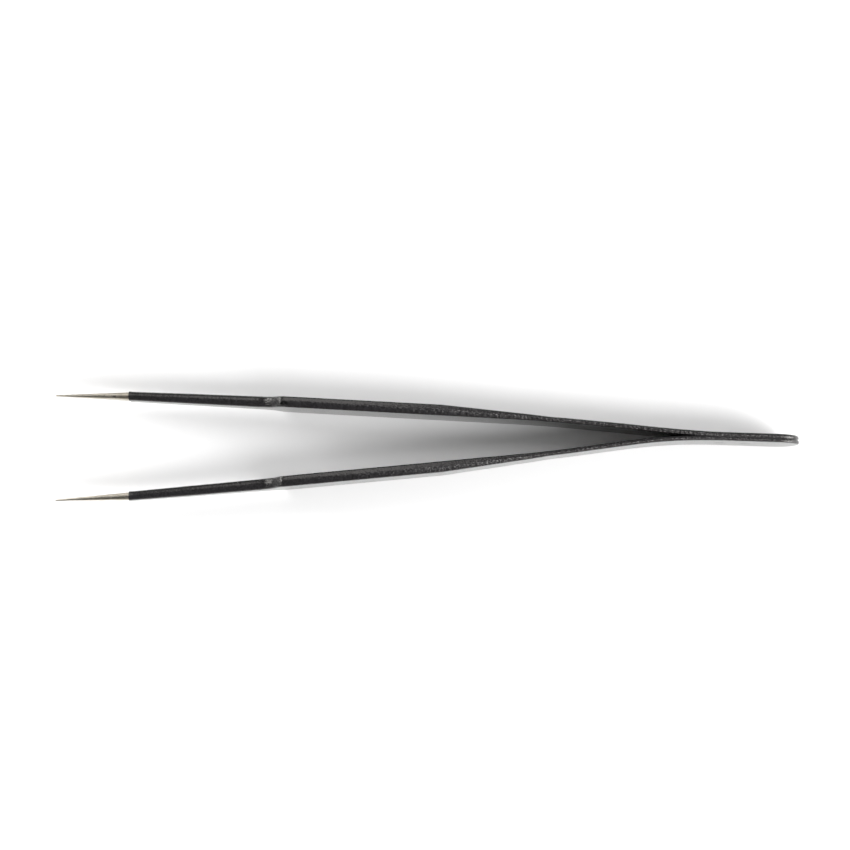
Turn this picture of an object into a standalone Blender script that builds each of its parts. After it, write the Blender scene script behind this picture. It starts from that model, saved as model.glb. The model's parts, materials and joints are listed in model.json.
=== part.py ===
"""Coated precision tweezers, lying on their side edges: two spring-steel blades, spot-welded at the heel, under
a black epoxy film that leaves the points bare.

The points face -X, the heel is at +X, the arms open along Y and the blades are upright in Z. The origin is
under the middle of the tweezers, on the surface that they lie on. Sizes are in metres. Each blade and the film
are parted at the middle of the spring leaf, where the hinge that stands for its bending is.
"""

import math

import bmesh
import bpy
import numpy as np

MM = 0.001

# Overall sizes, over the film.
LENGTH = 140 * MM
WIDTH = 9.4 * MM
POINT_X = -LENGTH / 2
HEEL_X = LENGTH / 2
MIDDLE_Z = WIDTH / 2

# The film lies on the steel with a hair of clearance, because the two are separate solids.
FILM = 0.12 * MM
CLEARANCE = 0.02 * MM
SKIN = FILM + CLEARANCE
FILM_FRONT_X = -56.0 * MM

# The blades touch behind LAND_X. A bend is where the inner face's slope starts or stops changing: the leaf
# curves away from its twin, runs straight, then bends back a little to the slope of the jaw.
SEAM = 0.03 * MM
LAND_X = 56 * MM
BENDS = (
    (LAND_X, 0.0),
    (40 * MM, math.tan(math.radians(6.6))),
    (28 * MM, math.tan(math.radians(6.6))),
    (18 * MM, math.tan(math.radians(4.22))),
    (POINT_X, math.tan(math.radians(4.22))),
)

# The lower leaf is set further out than the upper one, so the heel turns away from the line midway between the
# arms, which is the X axis. The turn comes on between these two places.
HEEL_TURN = math.radians(3.0)
TURN_FROM_X = 36 * MM
TURN_TO_X = 50 * MM

# Steel thickness and half width along the blade, from the point to the heel.
THICKNESS = (
    (POINT_X, 0.28 * MM),
    (-67.5 * MM, 0.44 * MM),
    (FILM_FRONT_X, 1.40 * MM),
    (-43 * MM, 1.62 * MM),
    (-31 * MM, 1.76 * MM),
    (2.8 * MM, 1.78 * MM),
    (23 * MM, 0.65 * MM),
    (HEEL_X, 0.65 * MM),
)
HALF_WIDTH = (
    (POINT_X, 0.25 * MM),
    (-67.5 * MM, 0.58 * MM),
    (FILM_FRONT_X, 1.62 * MM),
    (-32.2 * MM, 2.26 * MM),
    (-30.2 * MM, 2.38 * MM),
    (-28.9 * MM, 2.80 * MM),
    (-27.6 * MM, 4.15 * MM),
    (-27.1 * MM, 4.47 * MM),
    (-26.5 * MM, WIDTH / 2 - SKIN),
    (HEEL_X, WIDTH / 2 - SKIN),
)
# The steel's edges are broken along the leaf and rounded over along the nose.
EDGE_RADIUS = (
    (POINT_X, 0.08 * MM),
    (FILM_FRONT_X, 0.50 * MM),
    (-30 * MM, 0.45 * MM),
    (-26 * MM, 0.20 * MM),
    (HEEL_X, 0.15 * MM),
)
EDGE_STEPS = 3
BEND_STEP = 2.5 * MM

# The heel is rounded off as half an ellipse.
HEEL_ROUND = 4.3 * MM
HEEL_ROUND_STEPS = 7
HEEL_ROUND_STOP = math.radians(84)
HEEL_ROUND_X = HEEL_X - HEEL_ROUND

# The hinge that stands for the bending is at the middle of the leaf's thickness. The blade and the film are
# parted there, and the parting is wide enough to stay open when the arm swings in.
HINGE_X = 40 * MM
PARTING = 0.30 * MM

# A weld nugget joins the blades at each of these places, in a shallow pocket in both inner faces.
WELDS = (("front_spot_weld", 55.2 * MM), ("rear_spot_weld", 60.0 * MM))
WELD_RADIUS = 1.5 * MM
WELD_THICKNESS = 0.50 * MM
WELD_SIDES = 32

OVERRUN = 1 * MM
SMOOTH_ANGLE = math.radians(35)


def along(table, x):
    """The value of a table of (x, value) rows at x."""
    places, values = zip(*table)
    return float(np.interp(x, places, values))


def inner_face(x):
    """Distance from the middle plane to the steel's inner face, which adds up the slope from LAND_X to x."""
    y = SEAM / 2
    for (start, slope_a), (end, slope_b) in zip(BENDS, BENDS[1:]):
        run = min(max(start - x, 0), start - end)
        slope = slope_a + (slope_b - slope_a) * run / (start - end)
        y += run * (slope_a + slope) / 2
    return y


def middle(x):
    """Where the plane between the blades is, in Y: it turns towards -Y at the heel."""
    run = min(max(x - TURN_FROM_X, 0), TURN_TO_X - TURN_FROM_X)
    turning = run * run / (TURN_TO_X - TURN_FROM_X) / 2
    return -math.tan(HEEL_TURN) * (turning + max(x - TURN_TO_X, 0))


def stations(x_from, x_to, grow):
    """(x, half width) wherever the blade changes between two places, from the point towards the heel."""
    tables = (*THICKNESS, *HALF_WIDTH, *BENDS)
    leaf_bend = np.arange(TURN_FROM_X, LAND_X, BEND_STEP)
    jaw_bend = np.arange(BENDS[3][0], BENDS[2][0], BEND_STEP)
    places = {round(row[0], 6) for row in tables} | {round(float(x), 6) for x in (*leaf_bend, *jaw_bend)}
    end = min(x_to, HEEL_ROUND_X)
    inside = sorted(x for x in places if x_from < x < end)
    rows = [(x, along(HALF_WIDTH, x) + grow) for x in (x_from, *inside, end)]
    if x_to < HEEL_ROUND_X:
        return rows
    reach = (HEEL_ROUND - SKIN + grow) / math.sin(HEEL_ROUND_STOP)
    half_width = rows[-1][1]
    for step in range(1, HEEL_ROUND_STEPS + 1):
        turn = HEEL_ROUND_STOP * step / HEEL_ROUND_STEPS
        rows.append((HEEL_ROUND_X + reach * math.sin(turn), half_width * math.cos(turn)))
    return rows


def section(x, half_width, grow, side):
    """A ring of points round the blade at x: a rectangle with rounded corners, grown by `grow` all round."""
    near = inner_face(x) - grow
    far = near + along(THICKNESS, x) + 2 * grow
    radius = min(along(EDGE_RADIUS, x) + grow, 0.49 * (far - near), 0.98 * half_width)
    corners = (
        (far - radius, half_width - radius, 0),
        (near + radius, half_width - radius, 1),
        (near + radius, radius - half_width, 2),
        (far - radius, radius - half_width, 3),
    )
    ring = []
    y_middle = middle(x)
    for y, z, quarter in corners:
        for step in range(EDGE_STEPS + 1):
            turn = math.pi / 2 * (quarter + step / EDGE_STEPS)
            away = y + radius * math.cos(turn)
            ring.append((x, y_middle + side * away, MIDDLE_Z + z + radius * math.sin(turn)))
    return ring


def add_object(name, bm):
    """An object from a bmesh, with its faces turned outwards."""
    bmesh.ops.recalc_face_normals(bm, faces=bm.faces)
    mesh = bpy.data.meshes.new(name)
    bm.to_mesh(mesh)
    bm.free()
    mesh.shade_smooth()
    mesh.set_sharp_from_angle(angle=SMOOTH_ANGLE)
    obj = bpy.data.objects.new(name, mesh)
    bpy.context.scene.collection.objects.link(obj)
    return obj


def add_loft(name, x_from, x_to, side, grow=0.0):
    """A closed solid of one blade's shape between two places, grown by `grow` all round."""
    bm = bmesh.new()
    rows = stations(x_from, x_to, grow)
    rings = [[bm.verts.new(point) for point in section(x, half, grow, side)] for x, half in rows]
    for ring, following in zip(rings, rings[1:]):
        for i in range(len(ring)):
            bm.faces.new((ring[i - 1], ring[i], following[i], following[i - 1]))
    bm.faces.new(rings[0])
    bm.faces.new(rings[-1])
    return add_object(name, bm)


def add_disc(name, x, radius, thickness):
    """A disc on the plane between the blades, facing both of them."""
    bm = bmesh.new()
    bmesh.ops.create_cone(
        bm, cap_ends=True, segments=WELD_SIDES, radius1=radius, radius2=radius, depth=thickness
    )
    disc = add_object(name, bm)
    disc.location = (x, middle(x), MIDDLE_Z)
    disc.rotation_euler = (math.pi / 2, 0, -HEEL_TURN)
    return disc


def as_guide(obj):
    """Marks an object that only shapes another one."""
    obj.hide_render = True
    obj.display_type = "WIRE"
    return obj


def shape(obj, operation, guide):
    """Adds or takes away a guide's shape."""
    modifier = obj.modifiers.new(f"{operation.title()} {guide.name}", "BOOLEAN")
    modifier.operation = operation
    modifier.solver = "EXACT"
    modifier.object = guide


def make_material(name, colour, metallic, roughness):
    material = bpy.data.materials.new(name)
    material.use_nodes = True
    shader = material.node_tree.nodes["Principled BSDF"]
    shader.inputs["Base Color"].default_value = (*colour, 1)
    shader.inputs["Metallic"].default_value = metallic
    shader.inputs["Roughness"].default_value = roughness
    return material


def add_hinge(name, side):
    """An empty on the line that an arm turns about, which its pieces are parented to."""
    hinge = bpy.data.objects.new(name, None)
    away = inner_face(HINGE_X) + along(THICKNESS, HINGE_X) / 2
    hinge.location = (HINGE_X, middle(HINGE_X) + side * away, MIDDLE_Z)
    bpy.context.scene.collection.objects.link(hinge)
    return hinge


def hang(obj, hinge):
    """Parents a piece to a hinge and leaves it where it is."""
    obj.parent = hinge
    obj.location = -hinge.location


def build_blades(steel):
    """Both blades, each as the part that stays with the heel and the part that swings."""
    heel_blades = []
    for word, side in (("upper", 1), ("lower", -1)):
        heel = add_loft(f"{word}_heel_blade", HINGE_X + PARTING / 2, HEEL_X, side)
        arm = add_loft(f"{word}_arm_blade", POINT_X, HINGE_X - PARTING / 2, side)
        for piece in (heel, arm):
            piece.data.materials.append(steel)
        hang(arm, bpy.data.objects[f"{word}_hinge"])
        heel_blades.append(heel)
    return heel_blades


def build_welds(around, steel):
    """The weld nuggets, and their pockets in the blades and in the film between them."""
    for name, x in WELDS:
        nugget = add_disc(name, x, WELD_RADIUS, WELD_THICKNESS)
        nugget.data.materials.append(steel)
        pocket = add_disc(f"{name}_pocket", x, WELD_RADIUS + CLEARANCE, WELD_THICKNESS + 2 * CLEARANCE)
        as_guide(pocket)
        for piece in around:
            shape(piece, "DIFFERENCE", pocket)


def build_film(coating):
    """The film: one forked sleeve round both blades at the heel, and an open-ended sleeve on each arm."""
    heel_coat = None
    hollows = []
    for word, side in (("upper", 1), ("lower", -1)):
        hollow = as_guide(add_loft(f"{word}_hollow", FILM_FRONT_X - OVERRUN, HEEL_X, side, CLEARANCE))
        hollows.append(hollow)
        sleeve = add_loft(f"{word}_arm_coat", FILM_FRONT_X, HINGE_X - PARTING / 2, side, SKIN)
        sleeve.data.materials.append(coating)
        shape(sleeve, "DIFFERENCE", hollow)
        hang(sleeve, bpy.data.objects[f"{word}_hinge"])
        name = "heel_coat" if heel_coat is None else "heel_coat_fork"
        fork = add_loft(name, HINGE_X + PARTING / 2, HEEL_X, side, SKIN)
        if heel_coat is None:
            heel_coat = fork
        else:
            shape(heel_coat, "UNION", as_guide(fork))
    heel_coat.data.materials.append(coating)
    for hollow in hollows:
        shape(heel_coat, "DIFFERENCE", hollow)
    return heel_coat


def clear_scene():
    for obj in list(bpy.data.objects):
        bpy.data.objects.remove(obj, do_unlink=True)


def main():
    clear_scene()
    steel = make_material("ground_steel", (0.62, 0.60, 0.57), 1.0, 0.30)
    coating = make_material("black_epoxy", (0.022, 0.022, 0.023), 0.0, 0.38)
    add_hinge("upper_hinge", 1)
    add_hinge("lower_hinge", -1)
    heel_blades = build_blades(steel)
    heel_coat = build_film(coating)
    build_welds((*heel_blades, heel_coat), steel)


main()
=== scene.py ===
import json
import math

import bmesh
import bpy
import numpy as np
from mathutils import Matrix, Vector, noise


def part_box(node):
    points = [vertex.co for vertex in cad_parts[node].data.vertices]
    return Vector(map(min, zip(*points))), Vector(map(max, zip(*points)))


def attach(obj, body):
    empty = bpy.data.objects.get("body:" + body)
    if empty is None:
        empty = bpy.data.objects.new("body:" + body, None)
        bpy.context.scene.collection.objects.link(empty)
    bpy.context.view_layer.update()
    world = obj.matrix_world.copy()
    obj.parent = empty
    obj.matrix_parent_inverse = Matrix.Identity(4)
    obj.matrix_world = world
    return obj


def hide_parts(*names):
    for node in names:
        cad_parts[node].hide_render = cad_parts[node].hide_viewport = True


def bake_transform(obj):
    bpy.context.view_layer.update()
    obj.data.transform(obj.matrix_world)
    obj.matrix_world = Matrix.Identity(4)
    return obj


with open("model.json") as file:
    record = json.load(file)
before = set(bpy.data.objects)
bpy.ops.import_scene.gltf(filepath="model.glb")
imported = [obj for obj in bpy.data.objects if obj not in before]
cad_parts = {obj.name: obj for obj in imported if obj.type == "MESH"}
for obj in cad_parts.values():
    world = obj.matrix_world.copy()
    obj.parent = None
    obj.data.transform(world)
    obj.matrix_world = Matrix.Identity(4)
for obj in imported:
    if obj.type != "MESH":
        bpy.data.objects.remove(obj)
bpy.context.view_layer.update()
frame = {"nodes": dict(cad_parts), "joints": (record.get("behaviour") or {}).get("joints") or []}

MM = 0.001

# The ends, the film's front edge, the blades' width and the hinges come from the CAD.
POINT_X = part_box("upper_arm_blade")[0].x
HEEL_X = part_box("heel_coat")[1].x
FILM_FRONT_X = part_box("upper_arm_coat")[0].x
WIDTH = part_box("heel_coat")[1].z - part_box("heel_coat")[0].z
FLOOR_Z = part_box("heel_coat")[0].z
MIDDLE_Z = FLOOR_Z + WIDTH / 2
HINGES = {joint["child"]: Vector(joint["pos_m"]) for joint in frame["joints"]}
HINGE_X = HINGES["upper_arm"].x

# The film over the steel.
FILM = 0.12 * MM
CLEARANCE = 0.02 * MM
SKIN = FILM + CLEARANCE
LINING = 0.008 * MM

# The slope of the blades' inner faces at each bend, from where they touch to the points.
SEAM = 0.03 * MM
LAND_X = 56 * MM
LEAF_SLOPE = math.tan(math.radians(6.6))
JAW_SLOPE = math.tan(math.radians(4.22))
SLOPES = (
    (POINT_X, JAW_SLOPE),
    (18 * MM, JAW_SLOPE),
    (28 * MM, LEAF_SLOPE),
    (HINGE_X, LEAF_SLOPE),
    (LAND_X, 0.0),
    (HEEL_X, 0.0),
)
HEEL_TURN = math.tan(math.radians(3.0))
TURNS = ((36 * MM, 0.0), (50 * MM, -HEEL_TURN))

# The steel's thickness, half width and edge radius along the blade.
THICKNESS = (
    (POINT_X, 0.28 * MM),
    (-67.5 * MM, 0.44 * MM),
    (FILM_FRONT_X, 1.40 * MM),
    (-43 * MM, 1.62 * MM),
    (-31 * MM, 1.76 * MM),
    (2.8 * MM, 1.78 * MM),
    (23 * MM, 0.65 * MM),
    (HEEL_X, 0.65 * MM),
)
HALF_WIDTH = (
    (POINT_X, 0.25 * MM),
    (-67.5 * MM, 0.58 * MM),
    (FILM_FRONT_X, 1.62 * MM),
    (-32.2 * MM, 2.26 * MM),
    (-30.2 * MM, 2.38 * MM),
    (-28.9 * MM, 2.80 * MM),
    (-27.6 * MM, 4.15 * MM),
    (-27.1 * MM, 4.47 * MM),
    (-26.5 * MM, WIDTH / 2 - SKIN),
    (HEEL_X, WIDTH / 2 - SKIN),
)
EDGE_RADIUS = (
    (POINT_X, 0.09 * MM),
    (FILM_FRONT_X, 0.50 * MM),
    (-30 * MM, 0.45 * MM),
    (-26 * MM, 0.20 * MM),
    (HEEL_X - 2.5 * MM, 0.15 * MM),
    (HEEL_X, 0.34 * MM),
)
EASE = 0.30 * MM
HEEL_ROUND = 4.3 * MM - SKIN
POINT_ROUND = 0.25 * MM

# The sleeves on the arms meet the heel's film here, where the two arms' films run together.
FORK_X = 50 * MM
BUTT_GAP = 0.004 * MM

# The film fills the seam behind the fork, and leaves a small notch at the heel's end.
SEAM_FILLS = ((50 * MM, 0.0), (52 * MM, 0.45), (54 * MM, 0.83), (58 * MM, 0.96))
NOTCH_DEPTH = 0.24 * MM
NOTCH_HALF_WIDTH = 0.28 * MM
NOTCH_REACH = 1.0 * MM

# Spot welds leave shallow round dents in the heel's outer faces.
WELDS = ("front_spot_weld", "rear_spot_weld")
WELD_XS = [(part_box(name)[0].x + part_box(name)[1].x) / 2 for name in WELDS]
DENT_RADIUS = 1.6 * MM
DENT_DEPTH = 0.07 * MM

# The film's front edge is a thick rolled lip, and the film varies in thickness everywhere.
LIP_LENGTH = 0.9 * MM
LIP_SWELL = 0.05 * MM
WAVE_HEIGHT = 0.010 * MM
WAVE_LENGTH = 2.6 * MM
GRAIN_HEIGHT = 0.012 * MM
GRAIN_LENGTH = 0.45 * MM

# A burst bubble in the film on the upper arm's shoulder.
BUBBLE_X = -26.5 * MM
BUBBLE_INSET = 0.50 * MM
BUBBLE_LENGTH = 0.75 * MM
BUBBLE_WIDTH = 0.42 * MM
BUBBLE_DEPTH = 0.09 * MM

CORNER_STEPS = 8
EDGE_STEPS = 10
EDGE_CROWN = 0.06
FACE_STEPS = 18
ROUND_STEPS = 22
STATION_STEP = 0.30 * MM
FINE_STEP = 0.12 * MM
SHOULDER = (-31.5 * MM, -26.0 * MM)

FLOOR_SIZE = 3.0
SOFTBOX_DISTANCE = 0.9
HORIZON_LEVEL = 0.30
ZENITH_LEVEL = 0.04

CAMERA_AIM = Vector((-0.28, 2.5, 9.4)) * MM
CAMERA_TILT = math.radians(5.9)
CAMERA_ROLL = math.radians(-1.1)
CAMERA_DISTANCE = 304 * MM
FRAME_WIDTH = 158.0 * MM


def along(table, x):
    """The value of a table of (x, value) rows at x, with its corners rounded over EASE."""
    places, values = zip(*table)
    return float(np.interp(np.linspace(x - EASE, x + EASE, 9), places, values).mean())


GRID = np.linspace(POINT_X - 1 * MM, HEEL_X + 1 * MM, 1421)
PITCH = GRID[1] - GRID[0]


def summed(table):
    """The running sum of a table of slopes over GRID, from the point."""
    slopes = np.interp(GRID, *zip(*table))
    return np.concatenate([[0], np.cumsum((slopes[1:] + slopes[:-1]) / 2 * PITCH)])


GAP_GRID = summed(SLOPES)
GAP_GRID = SEAM / 2 + GAP_GRID[-1] - GAP_GRID
MIDDLE_GRID = summed(TURNS)


def inner_face(x):
    """Distance from the middle plane to the steel's inner face."""
    return float(np.interp(x, GRID, GAP_GRID))


def middle(x):
    """Where the plane between the blades is, in Y."""
    return float(np.interp(x, GRID, MIDDLE_GRID))


def outline(x_from, x_to):
    """Stations along the steel's outline: x, half width and normal. Ends past the blade are round."""
    rows = []
    nose_x = POINT_X + POINT_ROUND
    round_x = HEEL_X - SKIN - HEEL_ROUND
    if x_from <= POINT_X:
        half = along(HALF_WIDTH, nose_x)
        for step in range(8):
            turn = math.pi / 2 * step / 8
            along_x, across = math.cos(turn), math.sin(turn)
            rows.append((nose_x - POINT_ROUND * along_x, half * across, -along_x, across))
        x_from = nose_x
    x = x_from
    end = min(x_to, round_x)
    while x < end - FINE_STEP / 2:
        rows.append(station(x))
        fine = SHOULDER[0] < x < SHOULDER[1] or x < FILM_FRONT_X + LIP_LENGTH
        x += FINE_STEP if fine else STATION_STEP
    rows.append(station(end))
    if x_to > round_x:
        half = rows[-1][1]
        for step in range(1, ROUND_STEPS + 1):
            turn = math.pi / 2 * step / ROUND_STEPS
            wide, long = half * math.cos(turn), HEEL_ROUND * math.sin(turn)
            normal = Vector((long / HEEL_ROUND**2, wide / half**2)).normalized()
            rows.append((round_x + long, wide, normal.x, normal.y))
    return rows


def station(x):
    slope = (along(HALF_WIDTH, x + FINE_STEP) - along(HALF_WIDTH, x - FINE_STEP)) / (2 * FINE_STEP)
    normal = Vector((-slope, 1)).normalized()
    return (x, along(HALF_WIDTH, x), normal.x, normal.y)


def edge_shape(radius, span, fill=0.0):
    """(inset from the edge, depth from the outer face) over an edge. Fill takes away the inner corner."""
    turns = np.linspace(math.pi / 2, 0, CORNER_STEPS + 1)
    turned = [(radius * (1 - math.cos(t)), radius * (1 - math.sin(t))) for t in turns]
    flat_width = span - 2 * radius
    flat = [(0.0, radius + flat_width * i / EDGE_STEPS) for i in range(1, EDGE_STEPS)]
    inner = [(inset * (1 - fill), span - depth) for inset, depth in reversed(turned)]
    shape = []
    for inset, depth in (*turned, *flat, *inner):
        crown = EDGE_CROWN * flat_width * min(abs(2 * depth - span) / flat_width, 1) ** 2
        shape.append((inset + crown, depth))
    return shape


def edge_radius(row, grow, span):
    """The radius that the thickness has room for and, towards the point, the width too."""
    x, half_width = row[:2]
    radius = min(along(EDGE_RADIUS, x) + grow, 0.47 * span)
    if x < FILM_FRONT_X:
        radius = min(radius, half_width + grow)
    return max(radius, 0.002 * MM)


def edge_profile(row, grow, side):
    """Points over one blade's edge, from its outer face to its inner face, as (inset, x, y)."""
    x, _, normal_x, _ = row
    span = along(THICKNESS, x) + 2 * grow
    points = []
    for inset, depth in edge_shape(edge_radius(row, grow, span), span):
        here = x - (inset - grow) * normal_x
        away = inner_face(here) + along(THICKNESS, here) + grow - depth
        points.append((inset, here, middle(here) + side * away))
    return points


def fork_profile(row, grow, seam_fill):
    """Points over both blades' edges at the heel, from the upper outer face to the lower one."""
    x, _, normal_x, _ = row
    reach = inner_face(x) + along(THICKNESS, x) + grow
    edge = edge_shape(edge_radius(row, grow, reach), reach, seam_fill)
    upper = [(inset, reach - depth) for inset, depth in edge]
    lower = [(inset, -away) for inset, away in reversed(upper[:-1])]
    points = []
    for inset, away in (*upper, *lower):
        here = x - (inset - grow) * normal_x
        points.append((inset, here, middle(here) + away))
    return points


def ring(row, grow, profile):
    """A closed ring: over the top edge, down one face, back over the bottom edge and up the other."""
    _, half, _, normal_z = row
    heights = [half - (inset - grow) * normal_z for inset, _, _ in profile]
    top = [Vector((x, y, z)) for (_, x, y), z in zip(profile, heights)]
    bottom = [Vector((v.x, v.y, -v.z)) for v in reversed(top)]
    down = [top[-1].lerp(bottom[0], i / FACE_STEPS) for i in range(1, FACE_STEPS)]
    up = [bottom[-1].lerp(top[0], i / FACE_STEPS) for i in range(1, FACE_STEPS)]
    return [v + Vector((0, 0, MIDDLE_Z)) for v in (*top, *down, *bottom, *up)]


def skin(name, rings, cyclic=False):
    """A mesh over a chain of rings. Points that coincide at a round end are merged."""
    count = len(rings[0])
    links = len(rings) if cyclic else len(rings) - 1
    faces = []
    for k in range(links):
        here, there = k * count, (k + 1) % len(rings) * count
        for i in range(count):
            j = (i + 1) % count
            faces.append((here + i, here + j, there + j, there + i))
    mesh = bpy.data.meshes.new(name)
    mesh.from_pydata([v for r in rings for v in r], [], faces)
    bm = bmesh.new()
    bm.from_mesh(mesh)
    bmesh.ops.remove_doubles(bm, verts=bm.verts, dist=1e-7)
    bmesh.ops.recalc_face_normals(bm, faces=bm.faces)
    bm.to_mesh(mesh)
    bm.free()
    mesh.shade_smooth()
    mesh.set_sharp_from_angle(angle=math.radians(50))
    obj = bpy.data.objects.new(name, mesh)
    bpy.context.scene.collection.objects.link(obj)
    return obj


def keep_rest(obj):
    """Stores where each point is at rest, in millimetres."""
    rest = obj.data.attributes.new("rest", "FLOAT_VECTOR", "POINT")
    rest.data.foreach_set("vector", [c / MM for v in obj.data.vertices for c in v.co])


def keep(obj, name, values):
    """Stores one number for each point."""
    obj.data.attributes.new(name, "FLOAT", "POINT").data.foreach_set("value", values)


def smooth_step(low, high, x):
    t = min(max((x - low) / (high - low), 0), 1)
    return t * t * (3 - 2 * t)


def edge_share(co, normal):
    """1 on the sheared edges of a blade and 0 on its faces."""
    return smooth_step(0.25, 0.75, math.hypot(normal.x, normal.z))


def leaf_share(x):
    """Near 0 on the nose's smooth edges, 1 on the leaf, and less where the film fills the seam."""
    return 0.04 + 0.96 * smooth_step(-26 * MM, 30 * MM, x) - 0.45 * smooth_step(FORK_X, LAND_X, x)


def grain_share(co, normal):
    return edge_share(co, normal) * (0.12 + 0.88 * leaf_share(co.x))


def burr_and_glint_share(co, normal):
    """1 along the ragged middle of a sheared edge, which gets bumps and painted glints."""
    steel = (abs(co.y - middle(co.x)) - inner_face(co.x)) / along(THICKNESS, co.x)
    across = math.exp(-(((steel - 0.55) / 0.22) ** 2))
    return edge_share(co, normal) * across * leaf_share(co.x)


def shoulder_share(co, normal):
    """1 on the shoulder's edges, which were ground lengthwise."""
    ramp = smooth_step(-31.5 * MM, -30.0 * MM, co.x) * (1 - smooth_step(-27.2 * MM, -26.0 * MM, co.x))
    return edge_share(co, normal) * ramp


def pit_shade_share(co, normal):
    """1 inside the burst bubble, round its bead, where shade is painted near black."""
    if normal.z < 0.5 or co.y < middle(co.x):
        return 0.0
    reach = bubble_reach(co)
    return smooth_step(0.15, 0.45, reach) * (1 - smooth_step(0.75, 1.0, reach))


def bubble_reach(co):
    """How far a point is from the bubble's middle, where its rim is at 1."""
    across = co.y - middle(BUBBLE_X) - inner_face(BUBBLE_X) - BUBBLE_INSET
    return math.hypot((co.x - BUBBLE_X) / BUBBLE_LENGTH, across / BUBBLE_WIDTH)


SHARES = {
    "edge": edge_share,
    "grain": grain_share,
    "burr_and_glint": burr_and_glint_share,
    "shoulder": shoulder_share,
    "pit_shade": pit_shade_share,
}


def wave(co, length):
    return noise.noise(co / length)


def film_relief(co, normal):
    """How far the film's surface stands proud at a point."""
    waves = WAVE_HEIGHT * wave(co, WAVE_LENGTH) * (1 + edge_share(co, normal))
    return waves + GRAIN_HEIGHT * grain_share(co, normal) * wave(co + Vector((1, 2, 3)), GRAIN_LENGTH)


def add_relief(obj, height_at):
    """Moves each point along its normal by height_at(position, normal), and no lower than the floor."""
    mesh = obj.data
    places = [v.co + v.normal * height_at(v.co, v.normal) for v in mesh.vertices]
    for vertex, place in zip(mesh.vertices, places):
        place.z = max(place.z, FLOOR_Z)
        vertex.co = place


def blade(word, side):
    """A whole steel blade, from its bare point to the heel."""
    rings = [ring(row, 0.0, edge_profile(row, 0.0, side)) for row in outline(POINT_X, HEEL_X)]
    obj = skin(f"{word}_blade", rings)
    keep_rest(obj)
    return obj


def lip_swell(x):
    return LIP_SWELL * math.exp(-(((x - FILM_FRONT_X) / LIP_LENGTH) ** 2) * 3)


def sleeve(word, side):
    """The film on one arm: its outer surface, a rolled lip at the front, its lining and a flat rear end."""
    rows = outline(FILM_FRONT_X, FORK_X - BUTT_GAP)
    outer = []
    lip_turns = np.linspace(0, math.pi / 2, 7)[1:]
    front = rows[0]
    roll = FILM + LIP_SWELL
    for turn in lip_turns[:-1]:
        row = station(FILM_FRONT_X + roll * (1 - math.sin(turn)))
        outer.append((row, LINING + (SKIN + LIP_SWELL - LINING) * math.cos(turn)))
    outer.reverse()
    rows = [row for row in rows if row[0] > FILM_FRONT_X + roll]
    outer += [(row, SKIN + lip_swell(row[0])) for row in rows]
    lining = [(row, LINING) for row in reversed(rows)] + [(front, LINING)]
    rings = [ring(row, grow, edge_profile(row, grow, side)) for row, grow in (*outer, *lining)]
    return skin(f"{word}_film", rings, cyclic=True)


def seam_fill(x):
    """How full of film the seam between the blades is."""
    return float(np.interp(x, *zip(*SEAM_FILLS)))


def cut_notch(obj):
    """Opens the seam into a notch at the heel's end."""
    for vertex in obj.data.vertices:
        away = abs(vertex.co.y - middle(vertex.co.x)) / NOTCH_HALF_WIDTH
        share = smooth_step(HEEL_X - NOTCH_REACH, HEEL_X, vertex.co.x)
        if away < 1 and share > 0:
            vertex.co.x -= NOTCH_DEPTH * share * (1 - away) ** 2


def heel_film():
    """The film round both blades at the heel: its lining, a flat front and its outer surface."""
    rows = outline(FORK_X + BUTT_GAP, HEEL_X)
    lining = [ring(row, LINING, fork_profile(row, LINING, 1.0)) for row in reversed(rows)]
    outer = [ring(row, SKIN, fork_profile(row, SKIN, seam_fill(row[0]))) for row in rows]
    obj = skin("heel_film", lining + outer)
    cut_notch(obj)
    return obj


def weld_dent(co, normal):
    """Pulls the film in over each weld."""
    if abs(normal.y) < 0.9:
        return 0.0
    nearest = min(math.hypot(co.x - x, co.z - MIDDLE_Z) for x in WELD_XS) / DENT_RADIUS
    return -DENT_DEPTH * (1 - smooth_step(0.35, 1.0, nearest))


def side_normal(vertex):
    """A point's normal, without the share of the flat end where the films meet at the fork."""
    if abs(vertex.co.x - FORK_X) > FINE_STEP / 2:
        return vertex.normal.copy()
    return Vector((0, vertex.normal.y, vertex.normal.z)).normalized()


def roughen(obj, extra=None):
    """Gives a film piece its uneven outer surface, leaving its lining and its ends alone."""
    keep_rest(obj)
    normals = [side_normal(v) for v in obj.data.vertices]
    for name, share in SHARES.items():
        keep(obj, name, [share(v.co, normal) for v, normal in zip(obj.data.vertices, normals)])

    def height(co, normal):
        near_end = smooth_step(0.05 * MM, 1.0 * MM, abs(co.x - FORK_X))
        near_end *= smooth_step(0.05 * MM, 1.0 * MM, co.x - FILM_FRONT_X)
        rise = film_relief(co, normal) * near_end
        if extra:
            rise += extra(co, normal)
        return rise

    add_relief(obj, height)


def bubble_dent(co, normal):
    """The burst bubble: a pit with a raised rim and a small bead left in its middle."""
    if normal.z < 0.5:
        return 0.0
    reach = bubble_reach(co)
    rim = 0.25 * math.exp(-(((reach - 1.05) / 0.22) ** 2))
    bead = 0.8 * (1 - smooth_step(0.0, 0.45, reach))
    return BUBBLE_DEPTH * (rim + bead - (1 - smooth_step(0.5, 1.0, reach)))


# Materials


def new_material(name):
    material = bpy.data.materials.new(name)
    material.use_nodes = True
    tree = material.node_tree
    return material, tree, tree.nodes["Principled BSDF"]


def add_node(tree, kind, inputs=None, **settings):
    node = tree.nodes.new(kind)
    for key, value in settings.items():
        setattr(node, key, value)
    for key, value in (inputs or {}).items():
        node.inputs[key].default_value = value
    return node


def rest_place(tree):
    return add_node(tree, "ShaderNodeAttribute", attribute_name="rest").outputs["Vector"]


def kept(tree, name):
    return add_node(tree, "ShaderNodeAttribute", attribute_name=name).outputs["Fac"]


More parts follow.
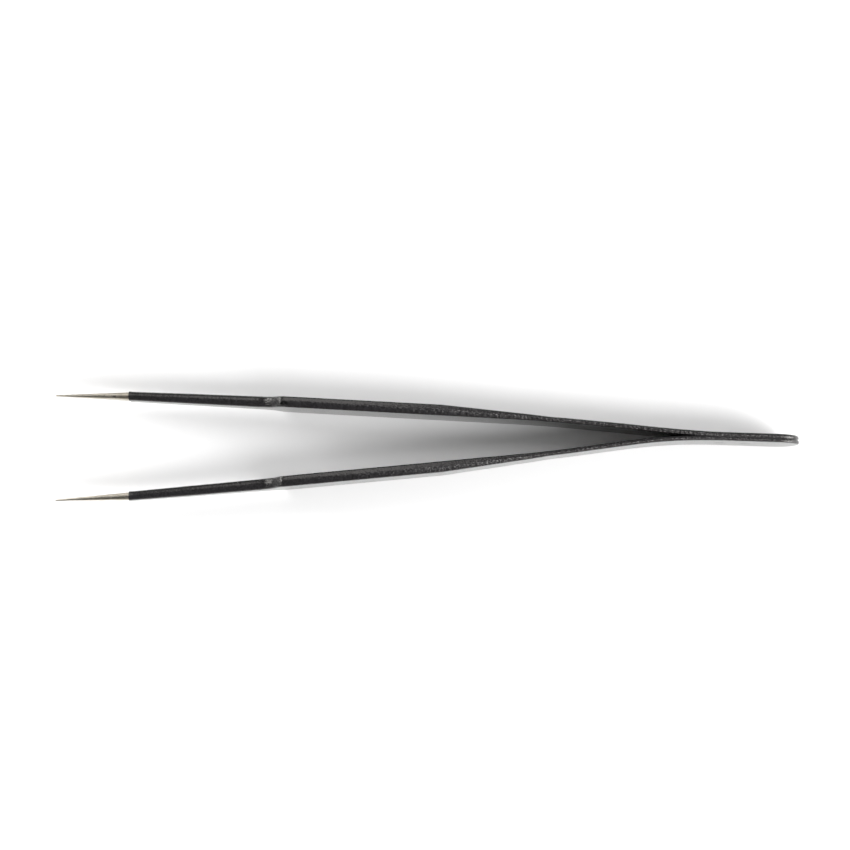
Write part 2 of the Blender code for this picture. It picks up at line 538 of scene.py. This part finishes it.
def add_noise(tree, place, scale, detail=2.0, stretch=(1, 1, 1)):
    mapping = add_node(tree, "ShaderNodeMapping", {"Scale": stretch})
    tree.links.new(place, mapping.inputs["Vector"])
    texture = add_node(tree, "ShaderNodeTexNoise", {"Scale": scale, "Detail": detail})
    tree.links.new(mapping.outputs["Vector"], texture.inputs["Vector"])
    return texture.outputs["Fac"]


def map_range(tree, value, low, high, to_low, to_high):
    node = add_node(
        tree,
        "ShaderNodeMapRange",
        {"From Min": low, "From Max": high, "To Min": to_low, "To Max": to_high},
    )
    tree.links.new(value, node.inputs["Value"])
    return node.outputs["Result"]


def maths(tree, operation, a, b):
    node = add_node(tree, "ShaderNodeMath", operation=operation)
    for socket, value in zip(node.inputs, (a, b)):
        if isinstance(value, (int, float)):
            socket.default_value = value
        else:
            tree.links.new(value, socket)
    return node.outputs["Value"]


def mix_colours(tree, factor, a, b):
    node = add_node(tree, "ShaderNodeMix", data_type="RGBA")
    tree.links.new(factor, node.inputs["Factor"])
    for name, colour in (("A", a), ("B", b)):
        if isinstance(colour, tuple):
            node.inputs[name].default_value = (*colour, 1)
        else:
            tree.links.new(colour, node.inputs[name])
    return node.outputs["Result"]


def add_bump(tree, shader, height, distance, strength=1.0):
    bump = add_node(tree, "ShaderNodeBump", {"Distance": distance, "Strength": strength})
    tree.links.new(height, bump.inputs["Height"])
    tree.links.new(bump.outputs["Normal"], shader.inputs["Normal"])


def film_material():
    """Black epoxy: smooth on the faces and grainy on the edges. Glints are painted as lighter specks along
    the edges' ragged middle, and shade is painted near black in the burst bubble's pit.
    """
    material, tree, shader = new_material("black_epoxy")
    place = rest_place(tree)
    edge, grain, burr_and_glint, shoulder, pit_shade = (kept(tree, name) for name in SHARES)
    peel = add_noise(tree, place, 1.1, 3.0)
    grit = add_noise(tree, place, 2.0, 3.0)
    pits = add_noise(tree, place, 2.4, 4.0)
    specks = add_noise(tree, place, 3.0, 2.0, stretch=(0.8, 1, 1))
    streaks = add_noise(tree, place, 1.0, 2.0, stretch=(0.4, 4.0, 4.0))
    shader.inputs["IOR"].default_value = 1.52
    shader.inputs["Specular Tint"].default_value = (1.0, 0.975, 0.94, 1)
    plain = mix_colours(
        tree, map_range(tree, pits, 0.35, 0.7, 0, 1), (0.011, 0.0105, 0.011), (0.019, 0.018, 0.0195)
    )
    # Painted glints: lighter specks mixed into the base colour along the burr's ragged middle.
    painted_glint = maths(tree, "MULTIPLY", burr_and_glint, map_range(tree, specks, 0.50, 0.64, 0, 1))
    with_painted_glints = mix_colours(tree, painted_glint, plain, (0.12, 0.116, 0.12))
    # Painted shade: the burst bubble's pit, round its bead, is coloured near black.
    tree.links.new(mix_colours(tree, pit_shade, with_painted_glints, (0.003, 0.003, 0.003)), shader.inputs["Base Color"])
    rough = map_range(tree, pits, 0.3, 0.7, 0.12, 0.18)
    for mask, more in ((edge, 0.07), (shoulder, -0.09), (pit_shade, -0.08)):
        rough = maths(tree, "ADD", rough, maths(tree, "MULTIPLY", mask, more))
    tree.links.new(rough, shader.inputs["Roughness"])
    height = maths(tree, "MULTIPLY", peel, 0.5)
    for mask, texture, strength in ((grain, grit, 4.5), (burr_and_glint, specks, 8.0), (shoulder, streaks, 3.5)):
        masked = maths(tree, "MULTIPLY", mask, maths(tree, "MULTIPLY", texture, strength))
        height = maths(tree, "ADD", height, masked)
    add_bump(tree, shader, height, 0.045 * MM)
    return material


def steel_material():
    """Satin stainless steel, ground along the blade."""
    material, tree, shader = new_material("ground_steel")
    place = rest_place(tree)
    lines = add_noise(tree, place, 1.0, 3.0, stretch=(0.35, 14.0, 14.0))
    cloud = add_noise(tree, place, 0.5, 3.0)
    shader.inputs["Metallic"].default_value = 1.0
    colour = mix_colours(tree, map_range(tree, cloud, 0.3, 0.7, 0, 1), (0.47, 0.43, 0.36), (0.57, 0.53, 0.46))
    tree.links.new(colour, shader.inputs["Base Color"])
    tree.links.new(map_range(tree, lines, 0.3, 0.7, 0.24, 0.40), shader.inputs["Roughness"])
    add_bump(tree, shader, lines, 0.006 * MM)
    return material


def weld_material():
    """The welds' fused metal, blued by heat."""
    material, tree, shader = new_material("weld_steel")
    place = add_node(tree, "ShaderNodeTexCoord").outputs["Object"]
    cloud = add_noise(tree, place, 900.0, 3.0)
    shader.inputs["Metallic"].default_value = 1.0
    colour = mix_colours(tree, map_range(tree, cloud, 0.3, 0.7, 0, 1), (0.30, 0.29, 0.33), (0.45, 0.41, 0.37))
    tree.links.new(colour, shader.inputs["Base Color"])
    tree.links.new(map_range(tree, cloud, 0.3, 0.7, 0.35, 0.55), shader.inputs["Roughness"])
    add_bump(tree, shader, cloud, 0.01 * MM)
    return material


# Floor, light and camera

def add_floor():
    mesh = bpy.data.meshes.new("floor")
    bm = bmesh.new()
    bmesh.ops.create_grid(bm, x_segments=1, y_segments=1, size=FLOOR_SIZE / 2)
    bm.to_mesh(mesh)
    bm.free()
    floor = bpy.data.objects.new("floor", mesh)
    bpy.context.scene.collection.objects.link(floor)
    material, _, shader = new_material("floor_white")
    shader.inputs["Base Color"].default_value = (0.90, 0.90, 0.90, 1)
    shader.inputs["Roughness"].default_value = 0.6
    mesh.materials.append(material)


def add_softbox(name, towards, width, height, power):
    """An oval area light that looks at the middle of the tweezers from a direction."""
    light = bpy.data.lights.new(name, "AREA")
    light.shape = "ELLIPSE"
    light.size = width
    light.size_y = height
    light.energy = power
    obj = bpy.data.objects.new(name, light)
    direction = Vector(towards).normalized()
    obj.location = direction * SOFTBOX_DISTANCE
    obj.rotation_euler = direction.to_track_quat("Z", "Y").to_euler()
    bpy.context.scene.collection.objects.link(obj)


def add_lights():
    """The key and front lights give the shadows on the +Y side, the fill those on the -Y side. The left and
    right lights are for the glints on the shoulders and on the heel's end."""
    add_softbox("key", (0.82, -0.46, 0.36), 0.60, 0.60, 12.1)
    add_softbox("front", (0.48, -0.48, 0.73), 0.45, 0.45, 4.0)
    add_softbox("fill", (-0.72, 0.50, 0.46), 0.50, 0.50, 6.8)
    add_softbox("back", (0.0, 0.50, 0.87), 0.48, 0.48, 1.2)
    add_softbox("left", (-0.66, 0.0, 0.75), 0.30, 0.10, 0.38)
    add_softbox("right", (0.76, 0.05, 0.65), 0.34, 0.34, 1.15)


def add_world():
    """A dim studio that is paler low down than overhead, where the camera is."""
    world = bpy.data.worlds.new("studio")
    world.use_nodes = True
    tree = world.node_tree
    place = add_node(tree, "ShaderNodeTexCoord").outputs["Generated"]
    split = add_node(tree, "ShaderNodeSeparateXYZ")
    tree.links.new(place, split.inputs[0])
    level = map_range(tree, split.outputs["Z"], 0.1, 0.8, HORIZON_LEVEL, ZENITH_LEVEL)
    tree.links.new(level, tree.nodes["Background"].inputs["Strength"])
    tree.nodes["Background"].inputs["Color"].default_value = (1.0, 0.99, 0.975, 1)
    bpy.context.scene.world = world


def add_camera():
    data = bpy.data.cameras.new("camera")
    data.sensor_width = 36.0
    data.lens = data.sensor_width * CAMERA_DISTANCE / FRAME_WIDTH
    data.clip_start = 0.01
    camera = bpy.data.objects.new("camera", data)
    away = Vector((0, -math.sin(CAMERA_TILT), math.cos(CAMERA_TILT)))
    camera.location = CAMERA_AIM + away * CAMERA_DISTANCE
    look = away.to_track_quat("Z", "Y").to_matrix().to_4x4()
    camera.rotation_euler = (look @ Matrix.Rotation(CAMERA_ROLL, 4, "Z")).to_euler()
    bpy.context.scene.collection.objects.link(camera)
    bpy.context.scene.camera = camera


def add_arm(word, side, film, steel):
    """One arm's blade and film. The blade reaches into the heel."""
    metal = blade(word, side)
    coat = sleeve(word, side)
    roughen(coat, bubble_dent if word == "upper" else None)
    for piece, material, slot, nodes in (
        (metal, steel, "steel", (f"{word}_heel_blade", f"{word}_arm_blade")),
        (coat, film, "coating", (f"{word}_arm_coat",)),
    ):
        piece.data.materials.append(material)
        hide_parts(*nodes)
        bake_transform(piece)


def add_heel(film, weld):
    """The heel's film, and a material for the welds inside it."""
    heel = heel_film()
    roughen(heel, weld_dent)
    heel.data.materials.append(film)
    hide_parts("heel_coat")
    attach(heel, "heel")
    for name in WELDS:
        node = frame["nodes"][name]
        node.data.materials.clear()
        node.data.materials.append(weld)


def main():
    film = film_material()
    steel = steel_material()
    add_arm("upper", 1, film, steel)
    add_arm("lower", -1, film, steel)
    add_heel(film, weld_material())
    add_floor()
    add_world()
    add_lights()
    add_camera()
    bpy.context.scene.view_settings.view_transform = "Standard"


main()
